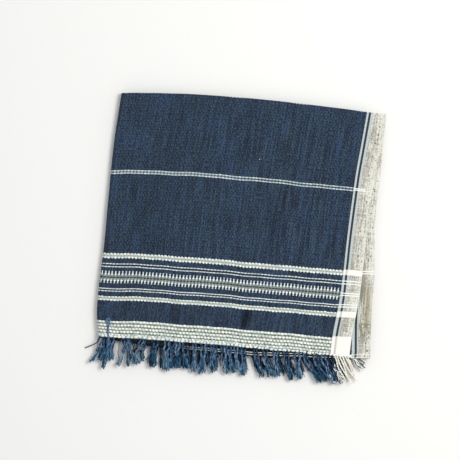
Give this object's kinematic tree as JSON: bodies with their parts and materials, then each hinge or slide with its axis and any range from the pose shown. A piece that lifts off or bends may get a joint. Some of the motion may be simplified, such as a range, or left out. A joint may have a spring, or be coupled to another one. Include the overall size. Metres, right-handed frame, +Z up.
{
  "type": "bath towel",
  "caption": "Flat-woven cotton bath towel with banded ends, pale selvedges and a knotted fringe, folded crosswise like an accordion and once lengthwise, lying flat.",
  "frame": {"origin": "bottom centre of the bounding box, on the surface that the towel lies on", "axes": "+Z up, through the layers; +X along the top fold, from the lengthwise fold towards the selvedges; -Y towards the fringe"},
  "size_m": [0.4018, 0.4094, 0.015],
  "materials": {
    "cloth": "plain weave of navy cotton, matt, with white and ecru borders along the selvedges and white bands and dotted lines across both ends",
    "fringe": "twisted and knotted cotton warp ends, mid blue, with ecru and white threads at the selvedges"
  },
  "bodies": {
    "root": {"cloth": "cloth", "fringe_outer": "fringe", "fringe_inner": "fringe"}
  },
  "joints": []
}
